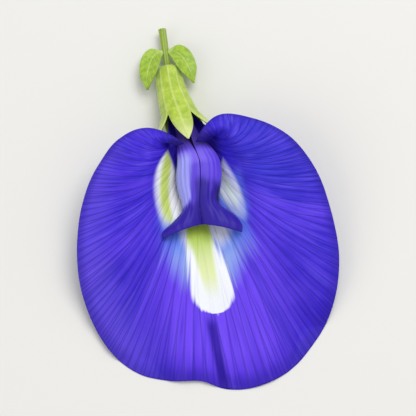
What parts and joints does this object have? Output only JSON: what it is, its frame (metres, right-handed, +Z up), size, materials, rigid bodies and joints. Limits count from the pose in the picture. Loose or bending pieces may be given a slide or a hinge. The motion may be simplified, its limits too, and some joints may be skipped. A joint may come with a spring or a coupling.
{
  "type": "butterfly pea flower",
  "caption": "Single picked butterfly pea bloom lying face up: a broad pleated standard petal round the wings and keel, held in a lobed calyx on a short stalk.",
  "frame": {"origin": "middle of the bloom's box, on the surface it lies on", "axes": "+Z up; +Y along the bloom, from the standard petal's lower edge to the stalk; +X to the right as the open face is looked at"},
  "size_m": [0.0428, 0.0622, 0.0107],
  "materials": {
    "standard_petal": "velvety blue petal with darker veins and a white and yellow-green mark",
    "wing_petals": "velvety violet-blue petal",
    "keel": "pale thin petal",
    "calyx": "ribbed yellow-green sepal tissue, matt",
    "bracteoles": "thin green bract, matt",
    "pedicel": "green stalk with fine down",
    "stamens": "cream filaments and anthers",
    "pistil": "pale green ovary and style"
  },
  "bodies": {
    "root": {"standard_petal": "standard_petal", "wing_petal_left": "wing_petals", "wing_petal_right": "wing_petals", "keel_petals": "keel", "calyx": "calyx", "bracteole_left": "bracteoles", "bracteole_right": "bracteoles", "pedicel": "pedicel", "stamen_tube": "stamens", "free_stamen": "stamens", "pistil": "pistil"}
  },
  "joints": []
}
